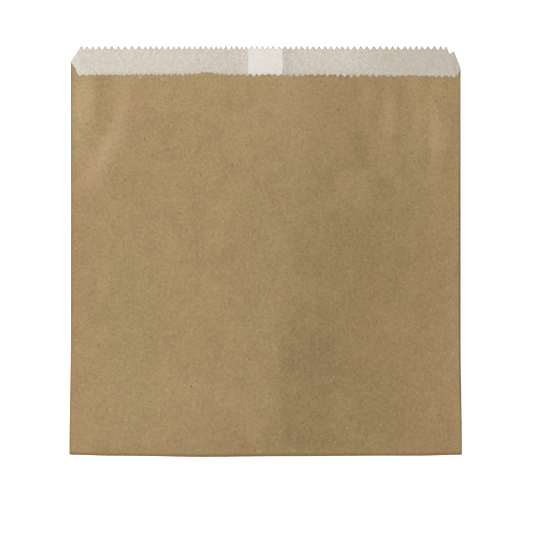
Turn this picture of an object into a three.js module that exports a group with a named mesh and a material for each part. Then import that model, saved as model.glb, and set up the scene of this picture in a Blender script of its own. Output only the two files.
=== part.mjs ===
// A flat takeaway bag: a brown kraft sheet and a white greaseproof sheet inside it, folded together.
// Millimetres. X runs across the bag, +Y from the bottom fold to the mouth, +Z up out of the front face.
// The bag lies on its back. The origin is the middle of its footprint, at the level of the surface under it.
//
// Each sheet is laid out flat as a strip that runs once round the tube: up to the middle of the back,
// round the left side, over the front, round the right side and back past the middle, where its two long
// edges overlap. Rows run along the bag, from the end of the flap, round the bottom fold, up to the mouth.
// Every point of that layout is then folded into place, once for the outer and once for the inner face.
import * as THREE from "three";
import { mergeVertices } from "three/addons/utils/BufferGeometryUtils.js";

// ---- driving dimensions ------------------------------------------------------------------------------
const KRAFT = 0.09; // thickness of the kraft sheet
const LINER = 0.05; // thickness of the greaseproof sheet
const GAP = 0.05; // air between neighbouring plies

const HALF_BOTTOM = 99.95; // half width at the bottom fold
const HALF_BODY = 99.3; // half width from the middle to the mouth, where the loft draws the sides in
const CUT_LENGTH = 213.5; // length of the tube that the cutter takes off for one bag
const SEAM_KRAFT = [9.2, -9.4]; // x of the kraft sheet's left and right long edges: the left one lies inside
const SEAM_LINER = [8.7, -8.8]; // the same for the greaseproof sheet
const LINER_SHORT = 0.6; // the greaseproof teeth end this far short of the kraft teeth

const PRESSED = 0.6; // thickness of the four pressed plies at the bottom fold
const SEAM_RISE = KRAFT + LINER + 2 * GAP; // extra thickness over the seam
const CREASE = 0.06; // radius inside the bottom fold
const SIDE_OPEN = 0.8; // how much the side folds open from pressed to lofted, halfway up the bag
const SIDE_SHUT = 0.1; // how much thinner than pressed they are at the mouth, where the lining lies close
const MOUTH_FLAT = 185; // past this distance from the bottom fold the section no longer changes

const BACK_TIP = 208.3; // bottom fold to the tips of the back's teeth
const BACK_TOOTH = 2.2; // depth of the back's teeth
// x of each tooth tip along the back's edge and along the front's edge
const BACK_TIPS = [
  -93.4, -90.5, -87.5, -84.6, -81.3, -78.0, -74.7, -71.3, -67.8, -64.2, -60.9, -58.3, -55.3, -52.4, -49.3,
  -46.6, -44.0, -41.2, -38.5, -36.0, -33.1, -30.5, -27.6, -25.1, -22.8, -20.1, -17.3, -14.7, -12.1, -9.8,
  -7.1, -4.5, -1.7, 1.0, 3.7, 6.8, 9.9, 12.8, 15.6, 18.2, 21.2, 24.2, 27.2, 30.1, 33.1, 36.1, 38.8, 41.6,
  44.9, 48.1, 51.3, 55.0, 58.0, 61.4, 64.4, 67.1, 70.7, 73.4, 76.5, 79.2, 82.2, 85.5, 88.7, 91.5,
];
const FRONT_TIPS = [
  -92.5, -89.2, -87.8, -85.4, -82.6, -79.0, -76.0, -72.7, -70.2, -67.0, -65.3, -63.1, -60.5, -57.4, -55.9,
  -54.1, -51.1, -48.3, -46.8, -45.3, -43.5, -40.4, -38.7, -35.7, -34.0, -32.3, -30.0, -26.8, -24.6, -21.4,
  -20.3, -17.0, -13.9, -10.8, -7.6, -4.6, -1.5, 1.6, 4.8, 7.8, 11.2, 14.2, 17.5, 20.1, 23.5, 26.6, 30.1,
  32.6, 35.1, 38.0, 42.0, 45.0, 48.2, 51.2, 54.6, 57.5, 60.2, 63.5, 66.6, 69.4, 72.7, 75.6, 79.1, 81.3,
  84.2, 87.6, 91.0, 93.8, 96.6,
];
// distance from the bottom fold to the front's tips, and the depth of its teeth, along x
const FRONT_TIP = [[-98, 193.7], [-75, 194.0], [-32, 194.9], [-10, 193.8], [17, 193.7], [98, 193.4]];
const FRONT_TOOTH = [[-98, 0.9], [-20, 1.0], [10, 1.3], [40, 1.5], [98, 1.6]];

// Height that the front ply stands above the side folds, across the bag, at four distances from the bottom
// fold: in the lower half it tents over the seam's right edge, towards the mouth the crest is broader.
const LOFT = [
  [10, [[-98.6, 0], [-90, 0.12], [-50, 1.3], [0, 2.85], [7.4, 3.05], [14, 2.45], [36, 1.1], [50, 0.85],
    [72, 0.2], [98.6, 0]]],
  [44, [[-98.6, 0], [-90, 0.2], [-50, 1.8], [0, 3.75], [7.4, 3.95], [14, 3.2], [36, 1.55], [52, 1.2],
    [70, 0.45], [84, 0.2], [98.6, 0]]],
  [88, [[-98.6, 0], [-90, 0.2], [-40, 2.2], [0, 3.75], [12, 3.9], [34, 2.9], [54, 1.6], [70, 0.5],
    [84, 0.1], [98.6, 0]]],
  [150, [[-98.6, 0], [-90, 0.3], [-40, 2.6], [5, 3.7], [22, 3.75], [42, 2.9], [60, 1.4], [76, 0.45],
    [88, 0.15], [98.6, 0]]],
];
const LOFT_RAMP = 26; // the front reaches its loft this far from the bottom fold

// ---- helpers -----------------------------------------------------------------------------------------
const step = (a, b, x) => THREE.MathUtils.smoothstep(x, a, b);
function table(points, x) {
  if (x <= points[0][0]) return points[0][1];
  for (let i = 1; i < points.length; i++) {
    if (x <= points[i][0]) {
      const t = (x - points[i - 1][0]) / (points[i][0] - points[i - 1][0]);
      return THREE.MathUtils.lerp(points[i - 1][1], points[i][1], t);
    }
  }
  return points[points.length - 1][1];
}

// ---- the cutter's line -------------------------------------------------------------------------------
// A row of teeth through the given tips, with each valley halfway between two tips.
function teeth(tips, tipAt, depthAt) {
  const line = [];
  tips.forEach((x, i) => {
    if (i) {
      const v = (x + tips[i - 1]) / 2;
      line.push(new THREE.Vector2(v, tipAt(v) - depthAt(v)));
    }
    line.push(new THREE.Vector2(x, tipAt(x)));
  });
  return line;
}
const SIDE = HALF_BODY - (PRESSED + SIDE_OPEN) / 2; // x where the side fold's curve starts at the mouth
const backLine = [
  new THREE.Vector2(-SIDE, 200.6), // the blade's slanted corner runs over the fold on to the front
  ...teeth(BACK_TIPS, () => BACK_TIP, () => BACK_TOOTH),
  new THREE.Vector2(93.3, 203.9),
  new THREE.Vector2(95.4, 205.6),
  new THREE.Vector2(SIDE, 198.0),
];
const frontLine = [
  new THREE.Vector2(-SIDE, 199.2),
  new THREE.Vector2(-96.5, 196.2),
  new THREE.Vector2(-96.2, 194.9),
  new THREE.Vector2(-94.9, 192.8),
  ...teeth(FRONT_TIPS, (x) => table(FRONT_TIP, x), (x) => table(FRONT_TOOTH, x)),
  new THREE.Vector2(97.3, 192.8),
  new THREE.Vector2(SIDE, 195.9),
];
function heightOn(line, x) {
  return table(line.map((p) => [p.x, p.y]), x);
}
// The points of a line from x = a to x = b, in that order, with both ends.
function stretch(line, a, b) {
  const lo = Math.min(a, b), hi = Math.max(a, b);
  const inside = line.filter((p) => p.x > lo + 0.02 && p.x < hi - 0.02);
  if (a > b) inside.reverse();
  return [new THREE.Vector2(a, heightOn(line, a)), ...inside, new THREE.Vector2(b, heightOn(line, b))];
}

// ---- the folded section ------------------------------------------------------------------------------
const bump = (x) => 1 - step(14, 60, Math.abs(x)); // 1 over the seam, 0 well beside it
const pressed = (x) => PRESSED + SEAM_RISE * bump(x);
const bow = (x) => -0.45 * Math.exp(-(((x + 36) / 25) ** 2)) + 0.5 * step(78, 100, Math.abs(x));
const half = (s) => THREE.MathUtils.lerp(HALF_BOTTOM, HALF_BODY, step(0, 60, s));

// height of the back's outer face: over the flap near the bottom fold, and flat on the surface past it
function backHeight(x, s) {
  const full = 2 * CREASE + pressed(x);
  const flapPair = KRAFT + GAP + LINER + 0.07; // the flap is two plies thick past the back's own short flap
  const middle = full + (flapPair - full) * step(8, 11.5, s) - flapPair * step(21.5, 36, s);
  const side = full * (1 - step(16, 36, s));
  return THREE.MathUtils.lerp(middle, side, step(84, 91, Math.abs(x)));
}
// height of the front's outer face
function frontHeight(x, s) {
  let crest = table(LOFT[0][1], x);
  for (let i = 1; i < LOFT.length; i++)
    crest = THREE.MathUtils.lerp(crest, table(LOFT[i][1], x), step(LOFT[i - 1][0], LOFT[i][0], s));
  const loft = step(0, LOFT_RAMP, s) * crest;
  const shut = (SIDE_OPEN + SIDE_SHUT) * step(120, MOUTH_FLAT, s) * step(15, 95, Math.abs(x - 8));
  const open = SIDE_OPEN * step(0, 60, s) - shut;
  return (2 * CREASE + pressed(x)) * (1 - step(10, 50, s)) + pressed(x) + open + loft;
}
// Height of a ply's outer face above the back's outer face, across the back. In the seam the plies lie, from
// the outside in: kraft right edge, kraft left edge, liner right edge, liner left edge.
const kraftLeft = (x) => (KRAFT + GAP) * step(-13, -10, x);
const kraftRight = () => 0;
const linerLeft = (x) => kraftLeft(x) + KRAFT + GAP + (LINER + GAP) * step(-9.9, -9.3, x);
const linerRight = (x) => KRAFT + GAP + (KRAFT + GAP) * (1 - step(10, 13, x));

// A point of a sheet. place is where it lies across: { on: "back" | "front", x } or { on: "left" | "right", angle }.
// row is where it lies along: { s } above the bottom fold, { turn } in the fold, { flap } beyond it.
// depth is the distance inwards from the kraft sheet's outer face; on the back it counts from the sheet's own
// outer face, whose height ply gives.
function fold(place, row, depth, ply) {
  const s = row.s === undefined ? 0 : Math.min(row.s, MOUTH_FLAT);
  const side = SIDE; // x of the layout at the mouth, scaled to the width at s
  const top = frontHeight(side, s), bottom = backHeight(side, s);
  const radius = (top - bottom) / 2;
  const edge = half(s) - radius;
  let x, z, w; // w is the height above the back's outer face
  if (place.on === "left" || place.on === "right") {
    const sign = place.on === "left" ? -1 : 1;
    x = sign * (edge + (radius - depth) * Math.sin(place.angle));
    z = (top + bottom) / 2 + (radius - depth) * Math.cos(place.angle);
    w = z - bottom;
  } else {
    x = (place.x / side) * edge;
    if (place.on === "front") {
      z = frontHeight(place.x, s) - depth;
      w = pressed(place.x) - depth;
    } else {
      w = ply(place.x) + depth;
      z = backHeight(place.x, s) + w;
    }
  }
  const bowed = bow(x);
  if (row.s !== undefined) return new THREE.Vector3(x, row.s + bowed * (1 - step(20, 90, row.s)), z);
  const flat = place.x === undefined ? PRESSED : pressed(place.x);
  const centre = CREASE + flat, reach = CREASE + w;
  if (row.turn !== undefined)
    return new THREE.Vector3(x, bowed - reach * Math.sin(row.turn), centre + reach * Math.cos(row.turn));
  return new THREE.Vector3(x, bowed + row.flap, centre - reach);
}

// ---- one folded sheet --------------------------------------------------------------------------------
const ACROSS_BACK_LEFT = [0, -9.3, -9.9, -10, -13, -30, -45, -60, -72, -84, -91, -95, -SIDE];
const ACROSS_FRONT = [
  -SIDE, -94.9, -90, -80, -65, -50, -35, -20, -10, 0, 7.4, 14, 24, 36, 50, 60, 72, 84, 90, 95, SIDE,
];
const ACROSS_BACK_RIGHT = [SIDE, 95, 91, 84, 72, 60, 45, 30, 13, 10, 0];
const ROUND_SIDE = 5; // facets round each side fold
const ROWS = [0, 8, 11.5, 16, 26, 36, 55, 80, 110, 150]; // fixed rows above the bottom fold
const TURNS = 4; // facets round the bottom fold
const MARGIN = 0.9; // the tooth strip starts this far inside the deepest valley near it

function sheet(thickness, inset, seam, plies, short, toothedFlap) {
  // places across, each with the cutter's line of its ply
  const places = [];
  for (const x of [seam[0], ...ACROSS_BACK_LEFT]) places.push({ on: "back", x, ply: plies[0] });
  for (let i = 1; i < ROUND_SIDE; i++)
    places.push({ on: "left", angle: Math.PI - (Math.PI * i) / ROUND_SIDE, t: i / ROUND_SIDE });
  for (const x of ACROSS_FRONT) places.push({ on: "front", x });
  for (let i = 1; i < ROUND_SIDE; i++)
    places.push({ on: "right", angle: (Math.PI * i) / ROUND_SIDE, t: i / ROUND_SIDE });
  for (const x of [...ACROSS_BACK_RIGHT, seam[1]]) places.push({ on: "back", x, ply: plies[1] });

  // the cut edge between two neighbouring places: points with a fraction of the way and a length
  const cut = (p) => {
    if (p.on === "back") return heightOn(backLine, p.x);
    if (p.on === "front") return heightOn(frontLine, p.x);
    const [a, b] = p.on === "left"
      ? [heightOn(backLine, -SIDE), heightOn(frontLine, -SIDE)]
      : [heightOn(frontLine, SIDE), heightOn(backLine, SIDE)];
    return THREE.MathUtils.lerp(a, b, p.t);
  };
  const cells = [];
  for (let i = 0; i + 1 < places.length; i++) {
    const p = places[i], q = places[i + 1];
    if (p.on === q.on && p.x !== undefined && p.ply === q.ply) {
      const line = p.on === "back" ? backLine : frontLine;
      cells.push(stretch(line, p.x, q.x).map((v) => ({ t: (v.x - p.x) / (q.x - p.x), s: v.y })));
    } else {
      cells.push([{ t: 0, s: cut(p) }, { t: 1, s: cut(q) }]);
    }
  }
  // where the tooth strips start, at each place
  const lowest = places.map((_, i) => {
    const near = [cells[i - 1], cells[i]].filter(Boolean).flat();
    return Math.min(...near.map((v) => v.s)) - MARGIN;
  });
  const highest = places.map((_, i) => {
    const near = [cells[i - 1], cells[i]].filter(Boolean).flat();
    return Math.max(...near.map((v) => v.s)) + MARGIN;
  });

  // rows along, from the flap's strip to the mouth's strip
  const rows = [];
  const flapBase = (i) => CUT_LENGTH - highest[i]; // length of the flap at its strip's start, as a positive number
  rows.push((i) => ({ flap: flapBase(i) }));
  rows.push((i) => ({ flap: flapBase(i) * 0.5 }));
  for (let k = TURNS; k > 0; k--) rows.push(() => ({ turn: (Math.PI * k) / TURNS }));
  for (const s of ROWS) rows.push(() => ({ s }));
  const last = ROWS[ROWS.length - 1];
  rows.push((i) => ({ s: last + (lowest[i] - last) * 0.8 }));
  rows.push((i) => ({ s: lowest[i] }));

  const points = [], index = [];
  const add = (v) => points.push(v) - 1;
  const face = (a, b, c) => index.push(a, b, c);
  const at = (p, row, d) => fold(p, row, p.on === "back" ? d : inset + d, p.ply);
  const outer = rows.map((row) => places.map((p, i) => add(at(p, row(i), 0))));
  const inner = rows.map((row) => places.map((p, i) => add(at(p, row(i), thickness))));
  // inside a cell the sheet is flat across, so a point of it lies on the straight line between its two places
  const between = (i, t, row, d) => {
    const a = at(places[i], row, d), b = at(places[i + 1], row, d);
    return t === 1 ? b : a.lerp(b, t);
  };
  const N = places.length, M = rows.length;
  // the field
  for (let j = 0; j + 1 < M; j++)
    for (let i = 0; i + 1 < N; i++) {
      const [a, b, c, d] = [outer[j][i], outer[j][i + 1], outer[j + 1][i + 1], outer[j + 1][i]];
      face(a, b, c);
      face(a, c, d);
      const [e, f, g, h] = [inner[j][i], inner[j][i + 1], inner[j + 1][i + 1], inner[j + 1][i]];
      face(e, g, f);
      face(e, h, g);
    }
  // the two long edges in the seam
  for (let j = 0; j + 1 < M; j++) {
    face(outer[j][0], outer[j + 1][0], inner[j + 1][0]);
    face(outer[j][0], inner[j + 1][0], inner[j][0]);
    face(outer[j][N - 1], inner[j + 1][N - 1], outer[j + 1][N - 1]);
    face(outer[j][N - 1], inner[j][N - 1], inner[j + 1][N - 1]);
  }
  // the cut ends: each cell of the strip is a flat outline between the last row and the cutter's line
  function end(j, mouth) {
    let previous = null;
    for (let i = 0; i + 1 < N; i++) {
      const edge = cells[i].map((v, k) => {
        const row = mouth ? { s: v.s - short } : { flap: CUT_LENGTH - v.s };
        if (k === 0 && previous) return previous;
        return { t: v.t, s: v.s, o: add(between(i, v.t, row, 0)), n: add(between(i, v.t, row, thickness)) };
      });
      edge[0] = { ...edge[0], t: 0, s: cells[i][0].s };
      const base = mouth ? lowest : highest;
      const outline = [
        new THREE.Vector2(0, base[i]),
        new THREE.Vector2(1, base[i + 1]),
        ...edge.slice().reverse().map((e) => new THREE.Vector2(e.t, e.s)),
      ];
      const ids = [
        [outer[j][i], inner[j][i]],
        [outer[j][i + 1], inner[j][i + 1]],
        ...edge.slice().reverse().map((e) => [e.o, e.n]),
      ];
      for (const [a, b, c] of THREE.ShapeUtils.triangulateShape(outline, [])) {
        const p = new THREE.Vector2().subVectors(outline[b], outline[a]);
        const q = new THREE.Vector2().subVectors(outline[c], outline[a]);
        const ccw = p.cross(q) > 0;
        const [x, y, z] = ccw ? [a, b, c] : [a, c, b];
        face(ids[x][0], ids[y][0], ids[z][0]);
        face(ids[x][1], ids[z][1], ids[y][1]);
      }
      for (let k = 0; k + 1 < edge.length; k++) {
        const [a, b] = [edge[k], edge[k + 1]];
        if (mouth) {
          face(a.o, b.o, b.n);
          face(a.o, b.n, a.n);
        } else {
          face(a.o, b.n, b.o);
          face(a.o, a.n, b.n);
        }
      }
      if (i === 0) {
        const e = edge[0];
        if (mouth) {
          face(outer[j][0], e.o, e.n);
          face(outer[j][0], e.n, inner[j][0]);
        } else {
          face(outer[j][0], e.n, e.o);
          face(outer[j][0], inner[j][0], e.n);
        }
      }
      if (i === N - 2) {
        const e = edge[edge.length - 1];
        if (mouth) {
          face(outer[j][N - 1], e.n, e.o);
          face(outer[j][N - 1], inner[j][N - 1], e.n);
        } else {
          face(outer[j][N - 1], e.o, e.n);
          face(outer[j][N - 1], e.n, inner[j][N - 1]);
        }
      }
      previous = edge[edge.length - 1];
    }
  }
  end(M - 1, true);
  if (toothedFlap) end(0, false);
  else
    for (let i = 0; i + 1 < N; i++) {
      face(outer[0][i], inner[0][i + 1], outer[0][i + 1]);
      face(outer[0][i], inner[0][i], inner[0][i + 1]);
    }

  const geometry = new THREE.BufferGeometry();
  geometry.setAttribute("position", new THREE.Float32BufferAttribute(points.flatMap((p) => [p.x, p.y, p.z]), 3));
  geometry.setIndex(index);
  return geometry;
}

// ---- the bag -----------------------------------------------------------------------------------------
const kraftGeometry = sheet(KRAFT, 0, SEAM_KRAFT, [kraftLeft, kraftRight], 0, true);
const linerGeometry = sheet(LINER, KRAFT + GAP, SEAM_LINER, [linerLeft, linerRight], LINER_SHORT, false);

// the origin goes to the middle of the footprint
kraftGeometry.computeBoundingBox();
const middle = kraftGeometry.boundingBox.getCenter(new THREE.Vector3());
for (const g of [kraftGeometry, linerGeometry]) {
  g.translate(-middle.x, -middle.y, -kraftGeometry.boundingBox.min.z);
}

const kraft = new THREE.Mesh(
  mergeVertices(kraftGeometry, 1e-4),
  new THREE.MeshStandardMaterial({ name: "brown_kraft_paper", color: 0xa78f67, roughness: 0.72, metalness: 0 }),
);
kraft.name = "kraft_wrapper";
const liner = new THREE.Mesh(
  mergeVertices(linerGeometry, 1e-4),
  new THREE.MeshStandardMaterial({ name: "greaseproof_paper", color: 0xd8d2c8, roughness: 0.5, metalness: 0 }),
);
liner.name = "greaseproof_liner";

const bag = new THREE.Group();
bag.name = "paper_bag";
bag.add(kraft, liner);

export default bag;
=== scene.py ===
import math

import bpy
import numpy as np
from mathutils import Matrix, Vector


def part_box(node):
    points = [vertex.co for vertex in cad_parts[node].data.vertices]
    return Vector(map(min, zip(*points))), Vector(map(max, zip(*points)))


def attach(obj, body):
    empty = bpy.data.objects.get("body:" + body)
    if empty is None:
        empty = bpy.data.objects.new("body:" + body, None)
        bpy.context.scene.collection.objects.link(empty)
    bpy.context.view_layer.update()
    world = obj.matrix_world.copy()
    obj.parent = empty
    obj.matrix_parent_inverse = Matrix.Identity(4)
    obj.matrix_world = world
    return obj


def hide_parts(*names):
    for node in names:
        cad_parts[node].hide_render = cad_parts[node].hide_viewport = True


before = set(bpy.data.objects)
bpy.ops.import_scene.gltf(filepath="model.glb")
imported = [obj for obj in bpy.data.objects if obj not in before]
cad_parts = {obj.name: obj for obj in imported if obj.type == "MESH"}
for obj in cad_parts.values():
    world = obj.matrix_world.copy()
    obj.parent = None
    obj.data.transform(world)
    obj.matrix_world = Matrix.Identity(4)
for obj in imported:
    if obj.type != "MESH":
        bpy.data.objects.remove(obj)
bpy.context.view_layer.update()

# A flat takeaway bag lies on its back: a brown kraft sheet and a greaseproof sheet inside it, folded
# together. Both are laid out flat as a grid, across the tube and along the bag, and every point of the
# grid is folded into place. Lengths are in millimetres until the meshes are made.

# ---- sizes ------------------------------------------------------------------------------------------
KRAFT, LINER, GAP, LINER_GAP = 0.09, 0.05, 0.05, 0.012
HALF_BOTTOM, HALF_BODY = 99.95, 99.3
CUT_LENGTH = 213.5
SEAM_KRAFT = (9.2, -9.4)
SEAM_LINER = (8.7, -8.8)
LINER_SHORT = 0.28
PRESSED = 0.6
SEAM_RISE = KRAFT + LINER + 2 * GAP
CREASE = 0.06
SIDE_OPEN = 0.8
SIDE_SHUT = 0.09
MOUTH_FLAT = 185.0
BACK_TIP, BACK_TOOTH = 208.4, 2.25
SIDE = HALF_BODY - (PRESSED + SIDE_OPEN) / 2
SHIFT = 208.3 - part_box("kraft_wrapper")[1][1] * 1000  # bottom fold to the origin

BACK_TIPS = [
    -93.4, -90.5, -87.5, -84.6, -81.3, -78.0, -74.7, -71.3, -67.8, -64.2, -60.9, -58.3, -55.3, -52.4, -49.3,
    -46.6, -44.0, -41.2, -38.5, -36.0, -33.1, -30.5, -27.6, -25.1, -22.8, -20.1, -17.3, -14.7, -12.1, -9.8,
    -7.1, -4.5, -1.7, 1.0, 3.7, 6.8, 9.9, 12.8, 15.6, 18.2, 21.2, 24.2, 27.2, 30.1, 33.1, 36.1, 38.8, 41.6,
    44.9, 48.1, 51.3, 55.0, 58.0, 61.4, 64.4, 67.1, 70.7, 73.4, 76.5, 79.2, 82.2, 85.5, 88.7, 91.5,
]  # fmt: skip
FRONT_TIPS = [
    -92.5, -89.2, -87.8, -85.4, -82.6, -79.0, -76.0, -72.7, -70.2, -67.0, -65.3, -63.1, -60.5, -57.4, -55.9,
    -54.1, -51.1, -48.3, -46.8, -45.3, -43.5, -40.4, -38.7, -35.7, -34.0, -32.3, -30.0, -26.8, -24.6, -21.4,
    -20.3, -17.0, -13.9, -10.8, -7.6, -4.6, -1.5, 1.6, 4.8, 7.8, 11.2, 14.2, 17.5, 20.1, 23.5, 26.6, 30.1,
    32.6, 35.1, 38.0, 42.0, 45.0, 48.2, 51.2, 54.6, 57.5, 60.2, 63.5, 66.6, 69.4, 72.7, 75.6, 79.1, 81.3,
    84.2, 87.6, 91.0, 93.8, 96.6,
]  # fmt: skip
FRONT_TIP = [(-98, 193.4), (-75, 193.7), (-36, 193.9), (-31.8, 194.55), (-28.4, 194.5), (-24, 193.8), (-16, 193.6), (12, 193.4), (26, 193.6), (55, 193.4), (98, 193.05)]
FRONT_TOOTH = [(-98, 1.15), (-52, 1.3), (-36, 1.1), (-32.5, 0.5), (-27.5, 0.5), (-24, 1.0), (-16, 1.1), (10, 1.35), (40, 1.5), (98, 1.5)]


def step(a, b, x):
    t = np.clip((np.asarray(x, float) - a) / (b - a), 0, 1)
    return t * t * (3 - 2 * t)


def table(points, x):
    p = np.array(points, float)
    return np.interp(x, p[:, 0], p[:, 1])


def soft_table(points, sigma):
    """A table smoothed to a curve, as a function of x."""
    xs = np.linspace(-130, 130, 2601)
    y = table(points, xs)
    k = np.arange(-60, 61) * 0.1
    g = np.exp(-0.5 * (k / sigma) ** 2)
    smooth = np.convolve(np.pad(y, 60, mode="edge"), g / g.sum(), mode="valid")
    return lambda x: np.interp(x, xs, smooth)


# ---- the cutter's line ------------------------------------------------------------------------------
rng = np.random.default_rng(11)


def teeth(tips, tip_at, depth_at, ragged):
    out = []
    for i, x in enumerate(tips):
        if i:
            v = (x + tips[i - 1]) / 2 + rng.uniform(-0.25, 0.25)
            out.append((v, tip_at(v) - depth_at(v) * (1 + rng.uniform(-ragged, ragged))))
        out.append((x, tip_at(x) + rng.uniform(-1, 1) * 0.35 * ragged))
    return out


BACK_LINE = np.array(
    [(-SIDE, 200.6)]
    + teeth(BACK_TIPS, lambda x: BACK_TIP - 0.12, lambda x: BACK_TOOTH, 0.06)
    + [(93.3, 203.9), (95.4, 205.6), (SIDE, 198.0)]
)
FRONT_LINE = np.array(
    [(-SIDE, 199.2), (-97.4, 197.4), (-96.6, 196.6), (-96.2, 194.5), (-94.6, 192.2)]
    + teeth(FRONT_TIPS, lambda x: table(FRONT_TIP, x), lambda x: table(FRONT_TOOTH, x), 0.42)
    + [(97.3, 192.8), (SIDE, 195.9)]
)


def on_line(line, x):
    return np.interp(x, line[:, 0], line[:, 1])


# ---- the folded section -----------------------------------------------------------------------------
# How high the front ply stands over the side folds, across the bag, at four distances from the bottom
# fold: it tents over the seam's right edge in the lower half, and towards the mouth the crest is broader.
LOFT = [
    (10, soft_table(
        [(-98.6, 0), (-90, 0.12), (-50, 1.3), (0, 2.85), (7.4, 3.05), (14, 2.45), (36, 1.1), (50, 0.85), (72, 0.2),
         (98.6, 0)], 2.2)),
    (44, soft_table(
        [(-98.6, 0), (-90, 0.2), (-50, 1.8), (0, 3.75), (7.4, 3.95), (14, 3.2), (36, 1.55), (52, 1.2), (70, 0.45),
         (84, 0.2), (98.6, 0)], 2.6)),
    (88, soft_table(
        [(-98.6, 0), (-90, 0.2), (-40, 2.2), (0, 3.75), (12, 3.9), (34, 2.9), (54, 1.6), (70, 0.5), (84, 0.1),
         (98.6, 0)], 4.0)),
    (150, soft_table(
        [(-98.6, 0), (-90, 0.3), (-40, 2.6), (5, 3.7), (22, 3.75), (42, 2.9), (60, 1.4), (76, 0.45), (88, 0.15),
         (98.6, 0)], 5.0)),
]  # fmt: skip


def bump(x):
    return 1 - step(14, 60, np.abs(x))


def pressed(x):
    return PRESSED + SEAM_RISE * bump(x)


def bow(x):
    return -0.45 * np.exp(-(((x + 36) / 25) ** 2)) + 0.5 * step(78, 100, np.abs(x))


def half(s):
    return HALF_BOTTOM + (HALF_BODY - HALF_BOTTOM) * step(0, 60, s)


def back_height(x, s):
    full = 2 * CREASE + pressed(x)
    pair = KRAFT + GAP + LINER + 0.07
    middle = full + (pair - full) * step(8, 11.5, s) - pair * step(21.5, 36, s)
    side = full * (1 - step(16, 36, s))
    t = step(84, 91, np.abs(x))
    return middle * (1 - t) + side * t


# Creases in the front ply. Each is a crest that runs along the bag: its place across at given distances
# from the bottom fold, its height, how wide its left and right flanks are, and where it fades out.
CREASES = [
    # the pull beside the left fold, near the mouth
    ([(120, -90.5), (160, -88.5), (200, -87.0)], 0.6, 5.5, 13.0, 128, 172, 215, 240),
    # the curved crease that runs from the mouth down to the left fold
    ([(126, -95.0), (136, -89.5), (147, -82.5), (152, -79.5), (167, -72.0), (177, -67.8), (192, -62.0)], 0.6, 5.0, 24.0, 122, 146, 215, 240),
    # short pulls at the right of the mouth
    ([(140, 66.5), (200, 63.6)], 0.22, 1.9, 3.6, 150, 164, 182, 190),
    ([(130, 79.0), (200, 79.5)], 0.34, 3.6, 3.4, 140, 160, 192, 215),
    ([(120, 87.5), (200, 88.5)], 0.36, 3.0, 3.6, 128, 158, 194, 215),
    ([(150, 55.0), (200, 52.5)], 0.14, 2.2, 4.0, 158, 172, 190, 205),
    # small ones low down on the right
    ([(5, 83.0), (28, 86.5)], 0.18, 2.0, 2.2, 3, 9, 18, 28),
    ([(2, 89.5), (20, 91.5)], 0.14, 1.6, 1.8, 2, 7, 14, 22),
    # and faint long ones in the left half
    ([(0, -46.0), (110, -41.5)], 0.10, 5.0, 6.0, 4, 40, 90, 130),
    ([(60, -24.0), (170, -18.0)], 0.08, 5.0, 7.0, 60, 90, 140, 175),
]  # fmt: skip


def waves(count, shortest, longest, amount, seed):
    """A field of faint waves, as a list of (kx, ky, phase, amplitude)."""
    r = np.random.default_rng(seed)
    out = []
    for _ in range(count):
        length = math.exp(r.uniform(math.log(shortest), math.log(longest)))
        a = r.uniform(0, math.pi)
        out.append((math.cos(a) / length, 0.6 * math.sin(a) / length, r.uniform(0, 2 * math.pi), amount * length))
    return out


COCKLE = waves(46, 8, 34, 0.00022, 5)
LIP_COCKLE = waves(30, 6, 30, 0.00045, 9)


def field(parts, x, s):
    out = np.zeros(np.broadcast(x, s).shape)
    for kx, ky, ph, a in parts:
        out += a * np.sin(2 * math.pi * (kx * x + ky * s) + ph)
    return out


def creases(x, s):
    out = np.zeros(np.broadcast(x, s).shape)
    for line, height, left, right, a, b, c, d in CREASES:
        line = np.array(line, float)
        crest = np.interp(s, line[:, 0], line[:, 1])
        t = x - crest
        t = np.where(t < 0, t / left, t / right)
        out += height * np.exp(-0.5 * t * t) * step(a, b, s) * (1 - step(c, d, s))
    return out


def front_height(x, s):
    c = np.minimum(s, MOUTH_FLAT)
    crest = LOFT[0][1](x)
    for (low, _), (high, section) in zip(LOFT, LOFT[1:]):
        t = step(low, high, c)
        crest = crest * (1 - t) + section(x) * t
    loft = step(0, 26, c) * crest
    over = pressed(x)
    base = (2 * CREASE + over) * (1 - step(10, 50, c)) + over
    shut = (SIDE_OPEN + SIDE_SHUT) * step(120, MOUTH_FLAT, c) * step(15, 95, np.abs(x - 8))
    base = base + SIDE_OPEN * step(0, 60, c) - shut
    free = step(2, 16, s) * (1 - step(93.5, 98.2, np.abs(x)))  # neither at the fold nor at the side folds
    return base + loft + free * (creases(x, s) + field(COCKLE, x, s))


def lip_wave(x, s):
    """How far the lip stands off the surface, past the front ply's edge."""
    lift = 0.35 + 0.5 * field(LIP_COCKLE, x, s)
    return np.maximum(lift, 0) * step(178, 197, s) * (1 - 0.82 * step(94, 98.6, np.abs(x)))


def kraft_left(x):
    return (KRAFT + GAP) * step(-13, -10, x)


def kraft_right(x):
    return 0 * x


def liner_left(x):
    return kraft_left(x) + KRAFT + GAP + (LINER + LINER_GAP) * step(-9.9, -9.3, x)


def liner_right(x):
    return KRAFT + GAP + (KRAFT + GAP) * (1 - step(10, 13, x))


BACK_L, LEFT, FRONT, RIGHT, BACK_R = range(5)
ROUND_SIDE, TURNS = 8, 8


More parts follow.
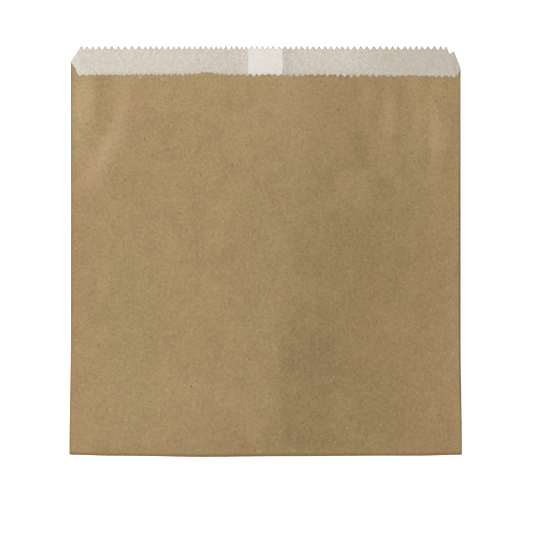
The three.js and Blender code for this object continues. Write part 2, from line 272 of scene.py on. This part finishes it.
def across(seam):
    """The places across a sheet: side, x or angle, and the cutter's line there."""
    sides = {v * sign for v in (95.5, 96.8, 97.7, 98.2, 98.45) for sign in (-1, 1)}
    back = sorted(set(BACK_LINE[:, 0]) | sides | {-13.0, -11.5, -10.0, -9.9, -9.3, 10.0, 11.5, 13.0, 14.0, -14.0})
    back = [b for i, b in enumerate(back) if i == 0 or b - back[i - 1] > 0.05]
    stripe = [-9.0, -8.6]
    left = sorted({x for x in back + stripe if x < seam[0] - 0.1} | {seam[0]}, reverse=True)
    right = sorted({x for x in back if x > seam[1] + 0.1} | {seam[1]}, reverse=True)
    front = sorted(set(FRONT_LINE[:, 0]) | sides | {7.2})
    front = [f for i, f in enumerate(front) if i == 0 or f - front[i - 1] > 0.05]
    place = [(BACK_L, x) for x in left]
    place += [(LEFT, math.pi - math.pi * i / ROUND_SIDE) for i in range(1, ROUND_SIDE)]
    place += [(FRONT, x) for x in front]
    place += [(RIGHT, math.pi * i / ROUND_SIDE) for i in range(1, ROUND_SIDE)]
    place += [(BACK_R, x) for x in right]
    return np.array([p[0] for p in place]), np.array([p[1] for p in place], float)


def fold(kind, q, s, turn, flap, depth, plies):
    """Places a row of points. s, turn and flap are arrays or None; depth is how far inside the kraft's outer face."""
    up = 0 * q if s is None else s
    c = np.minimum(up, MOUTH_FLAT)
    side = np.full_like(q, SIDE)
    top, bottom = front_height(side, c), back_height(side, c)
    radius = (top - bottom) / 2
    edge = half(c) - radius
    is_left, is_right, is_front = kind == LEFT, kind == RIGHT, kind == FRONT
    arc = is_left | is_right
    flat_x = np.where(arc, np.where(is_left, -SIDE, SIDE), q)
    # the flat parts
    x = q / SIDE * edge
    ply = np.where(kind == BACK_L, plies[0](flat_x), plies[1](flat_x))
    w = np.where(is_front, pressed(flat_x) - depth, ply + depth)
    z = np.where(is_front, front_height(flat_x, up) - depth, back_height(flat_x, c) + w)
    # the side folds
    sign = np.where(is_left, -1, 1)
    x = np.where(arc, sign * (edge + (radius - depth) * np.sin(q)), x)
    z = np.where(arc, (top + bottom) / 2 + (radius - depth) * np.cos(q), z)
    w = np.where(arc, z - bottom, w)
    bowed = bow(x)
    if s is not None:
        lift = lip_wave(flat_x, up)
        lower = (top + bottom) / 2
        share = np.where(is_front, 0, np.where(arc, np.clip((top - z) / np.maximum(top - bottom, 1e-6), 0, 1), 1))
        return x, s + bowed * (1 - step(20, 90, s)), z + lift * share
    centre = CREASE + pressed(np.where(arc, SIDE, flat_x))
    reach = CREASE + w
    if turn is not None:
        return x, bowed - reach * math.sin(turn), centre + reach * math.cos(turn)
    return x, bowed + flap, centre - reach


def sheet_mesh(name, thickness, inset, seam, plies, short):
    kind, q = across(seam)
    n = len(q)
    # the cutter's line at each place
    tl = np.where(kind == LEFT, 1 - q / math.pi, 0)
    tr = np.where(kind == RIGHT, q / math.pi, 0)
    cut = np.where(kind == FRONT, on_line(FRONT_LINE, q), on_line(BACK_LINE, q))
    bl, fl = on_line(BACK_LINE, -SIDE), on_line(FRONT_LINE, -SIDE)
    br, fr = on_line(BACK_LINE, SIDE), on_line(FRONT_LINE, SIDE)
    cut = np.where(kind == LEFT, bl + (fl - bl) * tl, cut)
    cut = np.where(kind == RIGHT, fr + (br - fr) * tr, cut)
    near = range(-4, 5)
    pad = np.pad(cut, 4, mode="edge")
    low = np.min([pad[4 + k : 4 + k + n] for k in near], axis=0) - 0.8
    high = np.max([pad[4 + k : 4 + k + n] for k in near], axis=0) + 0.8
    unroll = np.select(
        [kind == BACK_L, kind == LEFT, kind == FRONT, kind == RIGHT],
        [-2 * SIDE - 2.2 - q, -SIDE - 0.7 * q, q, SIDE + 0.7 * q],
        2 * SIDE + 2.2 - q,
    )
    rows = []  # (how, values, depth of the unrolled strip)
    rows.append(("flap", CUT_LENGTH - cut))
    for t in (1.0, 0.8, 0.6, 0.4, 0.2):
        rows.append(("flap", (CUT_LENGTH - high) * t))
    for k in range(TURNS, 0, -1):
        rows.append(("turn", math.pi * k / TURNS))
    ups = list(np.concatenate([[0, 1.2, 2.6, 4.2, 6, 8, 9.2, 10.4, 11.5, 13.5], np.arange(16, 40, 2.0), np.arange(40, 150, 2.5)]))
    for s in ups:
        rows.append(("up", np.full(n, s)))
    for t in np.linspace(0, 1, 19)[0:]:
        rows.append(("up", 150 + (low - 150) * t))
    rows.append(("up", cut - short))
    m = len(rows)
    points = np.zeros((2, m, n, 3))
    along = np.zeros((m, n))
    for side in (0, 1):
        d = thickness * side
        depth = np.where((kind == BACK_L) | (kind == BACK_R), d, inset + d)
        for j, (how, value) in enumerate(rows):
            if how == "up":
                x, y, z = fold(kind, q, value, None, None, depth, plies)
                along[j] = value
            elif how == "turn":
                x, y, z = fold(kind, q, None, value, None, depth, plies)
                along[j] = -0.5 * value
            else:
                x, y, z = fold(kind, q, None, None, value, depth, plies)
                along[j] = -0.5 * math.pi - value
            points[side, j, :, 0], points[side, j, :, 1], points[side, j, :, 2] = x, y, z
    points[..., 1] -= SHIFT
    # faces
    idx = np.arange(2 * m * n).reshape(2, m, n)
    o, i = idx[0], idx[1]
    quads = [
        np.stack([o[:-1, :-1], o[:-1, 1:], o[1:, 1:], o[1:, :-1]], -1).reshape(-1, 4),
        np.stack([i[:-1, :-1], i[1:, :-1], i[1:, 1:], i[:-1, 1:]], -1).reshape(-1, 4),
        np.stack([o[-1, :-1], o[-1, 1:], i[-1, 1:], i[-1, :-1]], -1),
        np.stack([o[0, :-1], i[0, :-1], i[0, 1:], o[0, 1:]], -1),
        np.stack([o[:-1, 0], o[1:, 0], i[1:, 0], i[:-1, 0]], -1),
        np.stack([o[:-1, -1], i[:-1, -1], i[1:, -1], o[1:, -1]], -1),
    ]
    faces = np.concatenate(quads)
    mesh = bpy.data.meshes.new(name)
    mesh.from_pydata((points.reshape(-1, 3) * 0.001).tolist(), [], faces.tolist())
    # the flat layout, in metres, drives the paper's pattern
    uv = mesh.uv_layers.new(name="layout")
    flat = np.zeros((2, m, n, 2))
    flat[..., 0] = unroll[None, None, :]
    flat[..., 1] = along[None]
    flat = flat.reshape(-1, 2) * 0.001 + np.array([0.3, 0.06])
    corner = np.zeros(len(mesh.loops), dtype=np.int64)
    mesh.loops.foreach_get("vertex_index", corner)
    uv.data.foreach_set("uv", flat[corner].ravel())
    # where the sheet lies on a second layer of itself
    double = np.where(kind == BACK_L, step(-9.0, -8.6, q), 0.0)
    attribute = mesh.attributes.new("double_layer", "FLOAT", "POINT")
    attribute.data.foreach_set("value", np.tile(double, 2 * m).astype(np.float32))
    # how near a point is to the bottom fold or a side fold, where the material paints shade
    fold_shade_weight = np.zeros((m, n))
    beside = np.where((kind == LEFT) | (kind == RIGHT), 1.0, step(98.0, 98.6, np.abs(q)))
    for j, (how, value) in enumerate(rows):
        near = 1.0 if how == "turn" else 0.0
        if how == "up":
            near = 1 - step(0.2, 1.3, value)
        fold_shade_weight[j] = np.maximum(near, beside)
    attribute = mesh.attributes.new("fold", "FLOAT", "POINT")
    attribute.data.foreach_set("value", np.tile(fold_shade_weight.ravel(), 2).astype(np.float32))
    mesh.validate()
    mesh.shade_smooth()
    obj = bpy.data.objects.new(name, mesh)
    bpy.context.collection.objects.link(obj)
    mesh.set_sharp_from_angle(angle=math.radians(50))
    return obj


kraft = sheet_mesh("kraft_sheet", KRAFT, 0.0, SEAM_KRAFT, (kraft_left, kraft_right), 0.0)
liner = sheet_mesh("greaseproof_sheet", LINER, KRAFT + GAP, SEAM_LINER, (liner_left, liner_right), LINER_SHORT)


# ---- materials --------------------------------------------------------------------------------------
class Nodes:
    """Short names for building a material."""

    def __init__(self, name):
        self.mat = bpy.data.materials.new(name)
        self.mat.use_nodes = True
        self.tree = self.mat.node_tree
        self.tree.nodes.clear()
        self.out = self.new("ShaderNodeOutputMaterial")
        self.bsdf = self.new("ShaderNodeBsdfPrincipled")
        self.link(self.bsdf.outputs[0], self.out.inputs[0])
        uv = self.new("ShaderNodeUVMap")
        uv.uv_map = "layout"
        scale = self.new("ShaderNodeMapping")
        scale.inputs["Scale"].default_value = (1000, 1000, 1)
        self.link(uv.outputs[0], scale.inputs["Vector"])
        self.mm = scale.outputs[0]  # the flat layout in millimetres

    def new(self, kind):
        return self.tree.nodes.new(kind)

    def link(self, a, b):
        self.tree.links.new(a, b)

    def noise(self, scale, detail=2.0, rough=0.5, stretch=(1, 1, 1), turn=0.0, shift=(0, 0, 0), distort=0.0):
        m = self.new("ShaderNodeMapping")
        m.inputs["Scale"].default_value = stretch
        m.inputs["Rotation"].default_value = (0, 0, turn)
        m.inputs["Location"].default_value = shift
        self.link(self.mm, m.inputs["Vector"])
        n = self.new("ShaderNodeTexNoise")
        n.noise_dimensions = "2D"
        n.inputs["Scale"].default_value = scale
        n.inputs["Detail"].default_value = detail
        n.inputs["Roughness"].default_value = rough
        n.inputs["Distortion"].default_value = distort
        self.link(m.outputs[0], n.inputs["Vector"])
        return n.outputs["Fac"]

    def streaks(self, length, width, turn, shift):
        """Noise drawn out along a slanting line."""
        m = self.new("ShaderNodeMapping")
        m.vector_type = "TEXTURE"
        m.inputs["Location"].default_value = (*shift, 0)
        m.inputs["Rotation"].default_value = (0, 0, math.radians(turn))
        m.inputs["Scale"].default_value = (length, width, 1)
        self.link(self.mm, m.inputs["Vector"])
        n = self.new("ShaderNodeTexNoise")
        n.noise_dimensions = "2D"
        n.inputs["Scale"].default_value = 1.0
        n.inputs["Detail"].default_value = 1.0
        self.link(m.outputs[0], n.inputs["Vector"])
        return n.outputs["Fac"]

    def cells(self, scale, stretch=(1, 1, 1), turn=0.0, shift=(0, 0, 0)):
        m = self.new("ShaderNodeMapping")
        m.inputs["Scale"].default_value = stretch
        m.inputs["Rotation"].default_value = (0, 0, turn)
        m.inputs["Location"].default_value = shift
        self.link(self.mm, m.inputs["Vector"])
        v = self.new("ShaderNodeTexVoronoi")
        v.voronoi_dimensions = "2D"
        v.inputs["Scale"].default_value = scale
        self.link(m.outputs[0], v.inputs["Vector"])
        return v.outputs["Distance"], v.outputs["Color"]

    def math(self, op, a, b=None, clamp=False):
        n = self.new("ShaderNodeMath")
        n.operation = op
        n.use_clamp = clamp
        for k, v in enumerate((a, b)):
            if v is None:
                continue
            if isinstance(v, (int, float)):
                n.inputs[k].default_value = v
            else:
                self.link(v, n.inputs[k])
        return n.outputs[0]

    def band(self, value, lo, hi, out_lo=0.0, out_hi=1.0, smooth=True):
        n = self.new("ShaderNodeMapRange")
        n.interpolation_type = "SMOOTHSTEP" if smooth else "LINEAR"
        n.inputs["From Min"].default_value = lo
        n.inputs["From Max"].default_value = hi
        n.inputs["To Min"].default_value = out_lo
        n.inputs["To Max"].default_value = out_hi
        self.link(value, n.inputs["Value"])
        return n.outputs[0]

    def mix(self, fac, a, b, blend="MIX"):
        n = self.new("ShaderNodeMix")
        n.data_type = "RGBA"
        n.blend_type = blend
        for socket, v in ((n.inputs[0], fac), (n.inputs[6], a), (n.inputs[7], b)):
            if isinstance(v, (int, float)):
                socket.default_value = v
            elif isinstance(v, tuple):
                socket.default_value = (*v, 1.0)
            else:
                self.link(v, socket)
        return n.outputs[2]

    def ridge(self, scale, width, **how):
        """Thin winding lines, like fibres: 1 on the line, 0 away from it."""
        n = self.noise(scale, **how)
        away = self.math("ABSOLUTE", self.math("SUBTRACT", n, 0.5))
        return self.band(away, width, 0.0)

    def patch(self, across, along, wide, tall, turn=0.0, ragged=None):
        """A soft oval field: 1 in its middle, 0 outside it."""
        m = self.new("ShaderNodeMapping")
        m.vector_type = "TEXTURE"
        m.inputs["Location"].default_value = (300 + across, 60 + along, 0)
        m.inputs["Rotation"].default_value = (0, 0, math.radians(turn))
        m.inputs["Scale"].default_value = (wide, tall, 1)
        self.link(self.mm, m.inputs["Vector"])
        g = self.new("ShaderNodeTexGradient")
        g.gradient_type = "SPHERICAL"
        self.link(m.outputs[0], g.inputs[0])
        value = g.outputs["Fac"]
        if ragged is not None:
            near = self.band(value, 0.0, 0.25)
            value = self.math("ADD", value, self.math("MULTIPLY", ragged, near))
        return self.band(value, 0.05, 0.85)

    def beside(self, across, along, wide, tall, turn=0.0):
        """A soft field with one sharp side, along a crease, for painting the shade beside it."""
        m = self.new("ShaderNodeMapping")
        m.vector_type = "TEXTURE"
        m.inputs["Location"].default_value = (300 + across, 60 + along, 0)
        m.inputs["Rotation"].default_value = (0, 0, math.radians(turn))
        m.inputs["Scale"].default_value = (wide, tall, 1)
        self.link(self.mm, m.inputs["Vector"])
        split = self.new("ShaderNodeSeparateXYZ")
        self.link(m.outputs[0], split.inputs[0])
        value = self.math("MULTIPLY", self.band(split.outputs[0], 0.0, 0.1), self.band(split.outputs[0], 1.0, 0.15))
        return self.math("MULTIPLY", value, self.band(self.math("ABSOLUTE", split.outputs[1]), 1.0, 0.45))

    def attribute(self, name):
        n = self.new("ShaderNodeAttribute")
        n.attribute_name = name
        return n.outputs["Fac"]

    def first_channel(self, colour):
        n = self.new("ShaderNodeSeparateColor")
        self.link(colour, n.inputs[0])
        return n.outputs[0], n.outputs[1]

    def bump(self, height, distance, strength=1.0):
        n = self.new("ShaderNodeBump")
        n.inputs["Distance"].default_value = distance
        n.inputs["Strength"].default_value = strength
        self.link(height, n.inputs["Height"])
        return n.outputs[0]


def specks(k, scale, size, share, stretch=(1, 1, 1), turn=0.0, shift=(0, 0, 0)):
    """Scattered specks: 1 inside, 0 outside. share is the part of the cells that holds one, size its radius in cells."""
    distance, colour = k.cells(scale, stretch, turn, shift)
    pick, vary = k.first_channel(colour)
    chosen = k.band(pick, share, share - 0.01)
    radius = k.band(vary, 0.0, 1.0, size * 0.45, size, smooth=False)
    inside = k.math("SUBTRACT", radius, distance)
    return k.math("MULTIPLY", k.band(inside, -0.012, 0.03), chosen)


def kraft_material():
    k = Nodes("kraft_paper")
    cloud = k.noise(0.085, 5.0, 0.66, stretch=(1.1, 0.85, 1), distort=0.4)  # the sheet's formation
    base = k.mix(k.band(cloud, 0.32, 0.68), KRAFT_DARK, KRAFT_LIGHT)
    # patches that are pinker, and patches that are greener
    hue = k.noise(0.055, 6.0, 0.72, shift=(31, 7, 0))
    base = k.mix(k.band(hue, 0.50, 0.66, 0.0, 0.26), base, KRAFT_PINK)
    hue2 = k.noise(0.075, 6.0, 0.72, shift=(-11, 83, 0))
    base = k.mix(k.band(hue2, 0.50, 0.66, 0.0, 0.26), base, KRAFT_GREEN)
    ragged = k.math("MULTIPLY", k.math("SUBTRACT", hue, 0.5), 1.6)
    # fields of tone on the front: partly the paper's own uneven tone and hue, partly painted light and shade for the
    # front's broad shading
    for across, along, wide, tall, turn, amount, tone in KRAFT_TONE_AND_SHADE_FIELDS:
        mask = k.patch(across, along, wide, tall, turn, ragged)
        base = k.mix(k.math("MULTIPLY", mask, amount), base, tone)
    for across, along, amount in KRAFT_EDGE_SPOTS:
        base = k.mix(k.math("MULTIPLY", k.patch(across, along, 1.3, 1.0), amount), base, EDGE_SPOT_TONE)
    # painted shade, and some painted light, beside creases
    for across, along, wide, tall, turn, amount, tone in KRAFT_CREASE_SHADING:
        base = k.mix(k.math("MULTIPLY", k.beside(across, along, wide, tall, turn), amount), base, tone)
    # fibres that lie every way
    for scale, width, stretch, turn, shift, amount, tone in (
        (0.42, 0.045, (1.0, 0.6, 1), 0.4, (5, 5, 0), 0.20, (0.14, 0.085, 0.032)),
        (0.50, 0.045, (0.6, 1.0, 1), 0.2, (19, 43, 0), 0.08, (0.50, 0.38, 0.21)),
        (0.55, 0.050, (1.0, 0.8, 1), 1.1, (71, 3, 0), 0.16, (0.14, 0.085, 0.032)),
        (0.60, 0.050, (0.8, 1.0, 1), 2.0, (7, 57, 0), 0.06, (0.50, 0.38, 0.21)),
    ):
        line = k.ridge(scale, width, detail=3.0, rough=0.6, stretch=stretch, turn=turn, shift=shift)
        broken = k.noise(scale * 1.1, detail=2.0, shift=(shift[1] + 23, shift[0] - 9, 0))
        line = k.math("MULTIPLY", line, k.band(broken, 0.46, 0.56))
        base = k.mix(k.math("MULTIPLY", line, amount), base, tone)
    grain = k.noise(1.15, 2.0, 0.6, shift=(3, 9, 0))
    base = k.mix(k.band(grain, 0.30, 0.70, 0.0, 0.20), base, (0.15, 0.10, 0.035))
    for length, width, turn, shift, amount, tone in (
        (2.6, 0.72, -45, (9, 4), 0.20, (0.13, 0.082, 0.030)),
        (2.2, 0.80, -52, (37, 61), 0.14, (0.48, 0.36, 0.19)),
        (2.0, 0.70, 42, (81, 15), 0.12, (0.13, 0.082, 0.030)),
    ):
        streak = k.streaks(length, width, turn, shift)
        base = k.mix(k.band(streak, 0.50, 0.74, 0.0, amount), base, tone)
    red = k.noise(0.95, 3.0, 0.7, shift=(63, 19, 0))
    base = k.mix(k.band(red, 0.48, 0.72, 0.0, 0.27), base, (0.300, 0.150, 0.062))
    grain2 = k.noise(0.62, 2.0, 0.6, shift=(13, 29, 0))
    base = k.mix(k.band(grain2, 0.35, 0.72, 0.0, 0.12), base, (0.46, 0.34, 0.18))
    clump = k.noise(0.24, 4.0, 0.66, shift=(47, 33, 0), distort=0.6)
    base = k.mix(k.band(clump, 0.52, 0.70, 0.0, 0.11), base, (0.46, 0.34, 0.18))
    # dark and light specks
    for scale, size, share, stretch, turn, shift, amount, tone in (
        (0.22, 0.070, 0.16, (1, 1, 1), 0.0, (0, 0, 0), 0.42, (0.10, 0.06, 0.03)),
        (0.20, 0.085, 0.12, (1.0, 0.42, 1), 0.7, (17, 4, 0), 0.50, (0.10, 0.06, 0.03)),
        (0.22, 0.085, 0.12, (0.42, 1.0, 1), 0.35, (3, 41, 0), 0.45, (0.11, 0.065, 0.03)),
        (0.09, 0.042, 0.16, (1, 0.6, 1), 2.2, (57, 21, 0), 0.70, (0.075, 0.04, 0.02)),
        (0.14, 0.060, 0.12, (1.0, 0.5, 1), 1.1, (7, 91, 0), 0.30, (0.55, 0.46, 0.32)),
        (0.022, 0.012, 0.12, (1, 1, 1), 0.0, (77, 13, 0), 0.55, (0.70, 0.66, 0.58)),
    ):
        dots = specks(k, scale, size, share, stretch, turn, shift)
        base = k.mix(k.math("MULTIPLY", dots, amount), base, tone)
    # painted shade along the folds: they are drawn darker brown there
    base = k.mix(k.math("MULTIPLY", k.attribute("fold"), 0.85), base, (0.205, 0.116, 0.040))
    k.link(base, k.bsdf.inputs["Base Color"])
    k.link(k.band(cloud, 0.3, 0.7, 0.66, 0.56), k.bsdf.inputs["Roughness"])
    k.bsdf.inputs["Specular IOR Level"].default_value = 0.30
    height = k.math("ADD", k.math("MULTIPLY", cloud, 1.0), k.math("MULTIPLY", grain2, 0.20))
    height = k.math("ADD", height, k.math("MULTIPLY", grain, 0.10))
    k.link(k.bump(height, 0.00010, 0.5), k.bsdf.inputs["Normal"])
    return k.mat


def liner_material():
    k = Nodes("greaseproof_paper")
    cloud = k.noise(0.30, 4.0, 0.70, shift=(13, 2, 0), distort=0.2)
    single = k.mix(k.band(cloud, 0.32, 0.70), LINER_SINGLE_DARK, LINER_SINGLE_LIGHT)
    tint = k.noise(0.9, 3.0, 0.6, shift=(1, 60, 0))
    single = k.mix(k.band(tint, 0.52, 0.76, 0.0, 0.30), single, (0.52, 0.44, 0.36))
    streak = k.noise(0.8, 2.0, 0.6, stretch=(1.0, 0.3, 1), shift=(21, 6, 0))
    single = k.mix(k.band(streak, 0.50, 0.75, 0.0, 0.22), single, (0.66, 0.63, 0.57))
    double = k.mix(k.band(cloud, 0.32, 0.70), LINER_DOUBLE_DARK, LINER_DOUBLE_LIGHT)
    base = k.mix(k.attribute("double_layer"), single, double)
    # the brown sheet shows through unevenly, less where the lining is double
    weak = k.math("SUBTRACT", 1.0, k.math("MULTIPLY", k.attribute("double_layer"), 0.8))
    place = k.new("ShaderNodeSeparateXYZ")
    k.link(k.mm, place.inputs[0])
    weak = k.math("MULTIPLY", weak, k.band(place.outputs[0], 300.0, 360.0, 0.72, 1.0))
    for scale, turn, shift, amount in ((0.60, 0.3, (41, 17, 0), 0.85), (1.2, 1.0, (4, 71, 0), 1.25)):
        fine = k.band(k.noise(scale, 3.0, 0.65, turn=turn, shift=shift), 0.42, 0.72, 0.0, amount)
        base = k.mix(k.math("MULTIPLY", fine, weak), base, (0.40, 0.345, 0.285))
    # the tips of the teeth are greyer, where the lining is rubbed
    base = k.mix(k.band(place.outputs[1], 60 + 206.0, 60 + 207.7, 0.0, 0.55), base, (0.37, 0.32, 0.26))
    for across, along, wide, tall, amount, tone in LINER_FIELDS:
        mask = k.patch(across, along, wide, tall)
        base = k.mix(k.math("MULTIPLY", mask, amount), base, tone)
    k.link(base, k.bsdf.inputs["Base Color"])
    k.link(k.band(cloud, 0.3, 0.7, 0.52, 0.42), k.bsdf.inputs["Roughness"])
    k.bsdf.inputs["Specular IOR Level"].default_value = 0.4
    height = k.math("ADD", k.math("MULTIPLY", cloud, 0.8), k.math("MULTIPLY", tint, 0.2))
    height = k.math("ADD", height, k.math("MULTIPLY", streak, 0.25))
    k.link(k.bump(height, 0.00006, 0.4), k.bsdf.inputs["Normal"])
    return k.mat


KRAFT_LIGHT = (0.283, 0.2010, 0.0878)
KRAFT_DARK = (0.247, 0.1720, 0.0733)
KRAFT_PINK = (0.288, 0.180, 0.0870)
KRAFT_GREEN = (0.254, 0.182, 0.0720)
PINK, DEEP, PALE = (0.290, 0.180, 0.0890), (0.170, 0.112, 0.0460), (0.400, 0.290, 0.150)
ROSY, WARM = (0.408, 0.287, 0.161), (0.415, 0.288, 0.148)
ORANGE, AMBER, OLIVE = (0.345, 0.224, 0.096), (0.258, 0.162, 0.066), (0.256, 0.188, 0.0765)
TAWNY, EDGE_SPOT_TONE = (0.296, 0.186, 0.0757), (0.105, 0.062, 0.024)
# dark spots in the middle teeth, just below the front's cut edge: across, along in mm, strength
KRAFT_EDGE_SPOTS = [
    (-18.3, 192.3, 0.55), (-14.9, 192.5, 0.42), (-7.4, 192.6, 0.42), (14.2, 191.2, 0.50), (15.9, 192.2, 0.80),
    (22.4, 192.4, 0.50), (25.2, 192.2, 0.80), (28.8, 192.2, 0.80), (34.8, 192.2, 0.50), (37.7, 192.2, 0.55),
    (41.1, 192.0, 0.65),
]  # fmt: skip
# painted shade, and some painted light, beside a crease: across, along, width, half height in mm, turn, strength,
# tone
KRAFT_CREASE_SHADING = [
    (-86.6, 182, 9, 18, 0, 0.55, AMBER),
    (-86.8, 181, 7, 16, 180, 0.16, ROSY),
    (86.8, 175, 7, 12, 19, 0.30, AMBER),
]
# fields over the front: partly the paper's own tone and hue, partly painted light and shade for its broad shading
KRAFT_TONE_AND_SHADE_FIELDS = [
    # across, along, half width, half height in mm, turn, strength, tone
    (50, 188, 130, 60, 0, 0.26, WARM),
    (58, 196, 68, 44, 0, 0.46, ORANGE),
    (-38, 192, 62, 26, 0, 0.24, ORANGE),
    (-97, 70, 15, 100, 0, 0.40, PINK),
    (-66, 60, 24, 84, 0, 0.50, OLIVE),
    (9, 172, 24, 34, 0, 0.16, WARM),
    (74, 165, 34, 56, 0, 0.16, PALE),
    (88, 130, 9, 46, 0, 0.20, PALE),
    (88, 52, 9, 34, 0, 0.18, PALE),
    (98, 120, 16, 84, 0, 0.36, ORANGE),
    (98, 40, 20, 66, 0, 0.54, WARM),
    (67, 64, 16, 16, 0, 0.20, PALE),
    (29, 82, 12, 10, 0, 0.16, PALE),
    (46, 131, 18, 17, 0, 0.30, PALE),
    (12, 182, 24, 16, 0, 0.16, PALE),
    (-50, 26, 80, 34, 0, 0.16, PALE),
    (-7, 16, 11, 14, 0, 0.34, PALE),
    (-60, 10, 50, 13, 0, 0.20, PALE),
    (-93, 10, 14, 18, 0, 0.16, PALE),
    (-93, 48, 12, 16, 0, 0.14, PALE),
    (28, 44, 30, 22, 0, 0.34, DEEP),
    (29, 61, 17, 14, 0, 0.36, DEEP),
    (47, 39, 18, 16, 0, 0.30, DEEP),
    (68, 12, 16, 12, 0, 0.12, DEEP),
    (24, 4, 30, 16, 0, 0.26, DEEP),
    (38, 100, 34, 44, 0, 0.14, DEEP),
    (52, 62, 22, 34, 0, 0.05, DEEP),
    (58, 24, 22, 34, 0, 0.19, DEEP),
    (88, 60, 24, 90, 0, 0.64, PINK),
    (80, 20, 24, 34, 0, 0.60, PINK),
    (86, 6, 30, 18, 0, 0.60, PINK),
    (30, 48, 26, 24, 0, 0.24, PINK),
    (57, 62, 26, 76, 0, 0.22, TAWNY),
    (-94, 26, 14, 44, 0, 0.30, TAWNY),
    (98, 170, 12, 40, 0, 0.24, TAWNY),
    (-90, 142, 15, 34, -6, 0.60, PINK),
    (-66, 176, 16, 22, 0, 0.45, PINK),
    (-58, 120, 26, 30, 0, 0.24, PINK),
    (-20, 14, 22, 16, 0, 0.16, PINK),
    (24, 176, 60, 20, 0, 0.40, PINK),
    (-14, 138, 9, 9, 0, 0.16, PALE),
    (4, 148, 12, 7, 0, 0.14, PALE),
    (-22, 122, 7, 12, 0, 0.14, PALE),
    # painted light on the creased corner of the mouth, where the crease catches the light
    (-91, 176, 13, 30, 0, 0.28, ROSY),
    (-80, 154, 8, 30, -23, 0.44, ROSY),
    (-74, 181, 8, 20, 0, 0.08, ROSY),
    # and painted light and shade beside the creases at the other side of the mouth, and beside the small creases low
    # on the right
    (62, 174, 7, 18, 0, 0.38, WARM),
    (52, 183, 6, 12, 0, 0.24, WARM),
    (74, 171, 4, 18, 0, 0.20, DEEP),
    (68, 183, 4, 13, 0, 0.16, DEEP),
    (87, 170, 12, 26, 0, 0.52, WARM),
    (93.3, 188.5, 1.6, 7, -4, 0.40, PALE),
    (85, 22, 4, 18, 12, 0.22, PALE),
    # where the cutter has lifted the surface, just below the front's edge
    (-63.4, 191.9, 1.5, 0.6, -48, 0.50, (0.62, 0.56, 0.47)),
    (-52.6, 191.0, 1.5, 0.55, -55, 0.50, (0.62, 0.56, 0.47)),
    (-50.4, 189.3, 0.7, 0.7, 0, 0.80, (0.085, 0.050, 0.022)),
    # painted shade along the left fold, drawn wider
    (-99.1, 98, 1.0, 150, 0, 0.60, (0.195, 0.113, 0.041)),
]
LINER_SINGLE_LIGHT = (0.553, 0.510, 0.456)
LINER_SINGLE_DARK = (0.492, 0.453, 0.402)
LINER_FIELDS = [
    (2 * SIDE + 2.2 - 32, 200, 34, 24, 0.22, (0.64, 0.60, 0.54)),
    (2 * SIDE + 2.2 - 76, 202, 34, 20, 0.42, (0.42, 0.37, 0.31)),
    (2 * SIDE + 2.2 - 84, 199, 4, 5, 0.36, (0.44, 0.34, 0.25)),
    (2 * SIDE + 2.2 - 62, 202, 5, 4, 0.24, (0.44, 0.34, 0.25)),
    (2 * SIDE + 2.2 - 92, 200, 10, 14, 0.20, (0.42, 0.37, 0.31)),
    (-2 * SIDE - 2.2 + 82, 203, 18, 12, 0.12, (0.46, 0.42, 0.37)),
    (-2 * SIDE - 2.2 + 56, 200, 56, 30, 0.14, (0.55, 0.525, 0.495)),
]
LINER_DOUBLE_LIGHT = (0.640, 0.615, 0.574)
LINER_DOUBLE_DARK = (0.600, 0.575, 0.532)

kraft.data.materials.append(kraft_material())
liner.data.materials.append(liner_material())

for obj, node, finish in (
    (kraft, "kraft_wrapper", "kraft_paper"),
    (liner, "greaseproof_liner", "greaseproof_paper"),
):
    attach(obj, "root")
    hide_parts(node)

# ---- floor, light and camera ------------------------------------------------------------------------
mesh = bpy.data.meshes.new("floor")
mesh.from_pydata([(-4, -4, 0), (4, -4, 0), (4, 4, 0), (-4, 4, 0)], [], [(0, 1, 2, 3)])
floor = bpy.data.objects.new("floor", mesh)
bpy.context.collection.objects.link(floor)
floor.location.z = -0.00002
k = Nodes("white_floor")
k.bsdf.inputs["Base Color"].default_value = (0.93, 0.93, 0.93, 1)
k.bsdf.inputs["Roughness"].default_value = 0.9
k.bsdf.inputs["Specular IOR Level"].default_value = 0.1
k.bsdf.inputs["Emission Color"].default_value = (1, 1, 1, 1)
k.bsdf.inputs["Emission Strength"].default_value = 0.80
floor.data.materials.append(k.mat)


def area_light(name, azimuth, elevation, distance, size, power):
    data = bpy.data.lights.new(name, "AREA")
    data.shape = "DISK"
    data.size = size
    data.energy = power
    obj = bpy.data.objects.new(name, data)
    a, e = math.radians(azimuth), math.radians(elevation)
    direction = Vector((math.cos(a) * math.cos(e), math.sin(a) * math.cos(e), math.sin(e)))
    obj.location = direction * distance
    obj.rotation_euler = direction.to_track_quat("Z", "Y").to_euler()
    bpy.context.collection.objects.link(obj)
    return obj


area_light("key", 159, 36, 2.4, 1.8, 100)
world = bpy.data.worlds.new("studio")
world.use_nodes = True
world.node_tree.nodes["Background"].inputs[0].default_value = (1, 1, 1, 1)
world.node_tree.nodes["Background"].inputs[1].default_value = 0.36
scene = bpy.context.scene
scene.world = world
scene.view_settings.view_transform = "Standard"
scene.view_settings.look = "None"
scene.view_settings.exposure = 0
scene.view_settings.gamma = 1

FIELD = 0.2710  # width of the picture at the bag, in metres
HEIGHT = 1.25
camera = bpy.data.cameras.new("camera")
camera.sensor_width = 36
camera.lens = 36 * HEIGHT / FIELD
camera.clip_start, camera.clip_end = 0.05, 20
eye = bpy.data.objects.new("camera", camera)
eye.location = (0.0005, -0.0078, HEIGHT + 0.002)
bpy.context.collection.objects.link(eye)
scene.camera = eye
